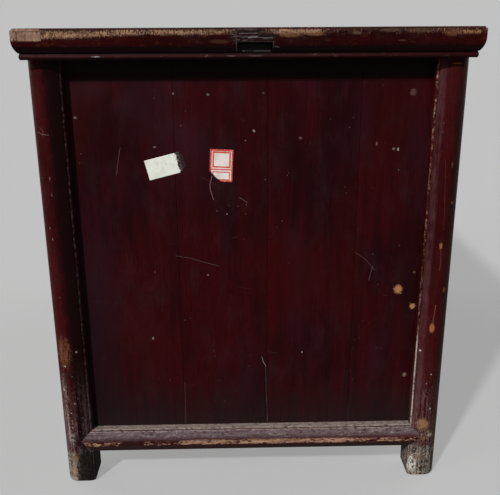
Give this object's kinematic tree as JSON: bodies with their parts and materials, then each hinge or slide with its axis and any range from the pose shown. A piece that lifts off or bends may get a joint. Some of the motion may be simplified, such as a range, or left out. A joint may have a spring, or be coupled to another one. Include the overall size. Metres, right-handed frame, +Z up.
{
  "type": "kang cabinet",
  "caption": "Low lacquered cabinet with a moulded overhanging top, mitred rails, boarded ends, sliding drawers over pivoting doors, and brass pulls.",
  "frame": {"origin": "on the floor, under the middle of the top", "axes": "+Z up, +X along the length towards the right-hand end, -Y towards the doors and drawers"},
  "size_m": [0.8, 0.5, 0.568],
  "materials": {
    "lacquered_wood": "aged satin lacquer",
    "raw_wood": "bare, aged",
    "brass": "tarnished",
    "white_paper": "matt",
    "red_paper": "matt"
  },
  "bodies": {
    "carcass": {"back_battens": "raw_wood", "back_lower_boards": "lacquered_wood", "back_mid_rail": "lacquered_wood", "back_upper_board": "lacquered_wood", "bottom_back_rail": "lacquered_wood", "bottom_front_rail": "lacquered_wood", "bottom_left_rail": "lacquered_wood", "bottom_right_rail": "lacquered_wood", "drawer_divider": "lacquered_wood", "drawer_guide": "raw_wood", "drawer_runners": "raw_wood", "end_battens": "raw_wood", "floor_bearers": "raw_wood", "floor_boards": "raw_wood", "front_mid_rail": "lacquered_wood", "left_end_boards": "lacquered_wood", "leg_back_left": "lacquered_wood", "leg_back_right": "lacquered_wood", "leg_front_left": "lacquered_wood", "leg_front_right": "lacquered_wood", "red_label": "red_paper", "right_end_board_1": "lacquered_wood", "right_end_board_2": "lacquered_wood", "right_end_board_3": "lacquered_wood", "right_end_board_4": "lacquered_wood", "top_back_rail": "lacquered_wood", "top_batten": "raw_wood", "top_boards": "lacquered_wood", "top_front_rail": "lacquered_wood", "top_left_rail": "lacquered_wood", "top_right_rail": "lacquered_wood", "white_label": "white_paper"},
    "drawer_left": {"drawer_left_back": "raw_wood", "drawer_left_bottom": "raw_wood", "drawer_left_front": "lacquered_wood", "drawer_left_pull_plate": "brass", "drawer_left_pull_posts": "brass", "drawer_left_sides": "raw_wood"},
    "door_left": {"door_left_eyes": "brass", "door_left_lock_plate": "brass", "door_left_meeting_stile": "lacquered_wood", "door_left_panel": "lacquered_wood", "door_left_pivot_stile": "lacquered_wood", "door_left_rails": "lacquered_wood"},
    "bail_left": {"drawer_left_bail": "brass"},
    "ring_left": {"door_left_ring": "brass"},
    "drawer_right": {"drawer_right_back": "raw_wood", "drawer_right_bottom": "raw_wood", "drawer_right_front": "lacquered_wood", "drawer_right_pull_plate": "brass", "drawer_right_pull_posts": "brass", "drawer_right_sides": "raw_wood"},
    "door_right": {"door_right_eyes": "brass", "door_right_lock_plate": "brass", "door_right_meeting_stile": "lacquered_wood", "door_right_panel": "lacquered_wood", "door_right_pivot_stile": "lacquered_wood", "door_right_rails": "lacquered_wood"},
    "bail_right": {"drawer_right_bail": "brass"},
    "ring_right": {"door_right_ring": "brass"}
  },
  "joints": [
    {"name": "door_left_hinge", "type": "hinge", "parent": "carcass", "child": "door_left", "pos_m": [-0.3374, -0.224, 0.2385], "axis": [0, 0, -1], "range_deg": [0, 90]},
    {"name": "ring_left_swing", "type": "hinge", "parent": "door_left", "child": "ring_left", "pos_m": [-0.0245, -0.24, 0.2385], "axis": [-1, 0, 0], "range_deg": [0, 90]},
    {"name": "drawer_left_slide", "type": "slide", "parent": "carcass", "child": "drawer_left", "axis": [0, -1, 0], "range_m": [0, 0.3]},
    {"name": "bail_left_swing", "type": "hinge", "parent": "drawer_left", "child": "bail_left", "pos_m": [-0.1795, -0.24, 0.48875], "axis": [-1, 0, 0], "range_deg": [0, 90]},
    {"name": "door_right_hinge", "type": "hinge", "parent": "carcass", "child": "door_right", "pos_m": [0.3374, -0.224, 0.2385], "axis": [0, 0, 1], "range_deg": [0, 90]},
    {"name": "ring_right_swing", "type": "hinge", "parent": "door_right", "child": "ring_right", "pos_m": [0.0245, -0.24, 0.2385], "axis": [-1, 0, 0], "range_deg": [0, 90]},
    {"name": "drawer_right_slide", "type": "slide", "parent": "carcass", "child": "drawer_right", "axis": [0, -1, 0], "range_m": [0, 0.3]},
    {"name": "bail_right_swing", "type": "hinge", "parent": "drawer_right", "child": "bail_right", "pos_m": [0.1795, -0.24, 0.48875], "axis": [-1, 0, 0], "range_deg": [0, 90]}
  ]
}
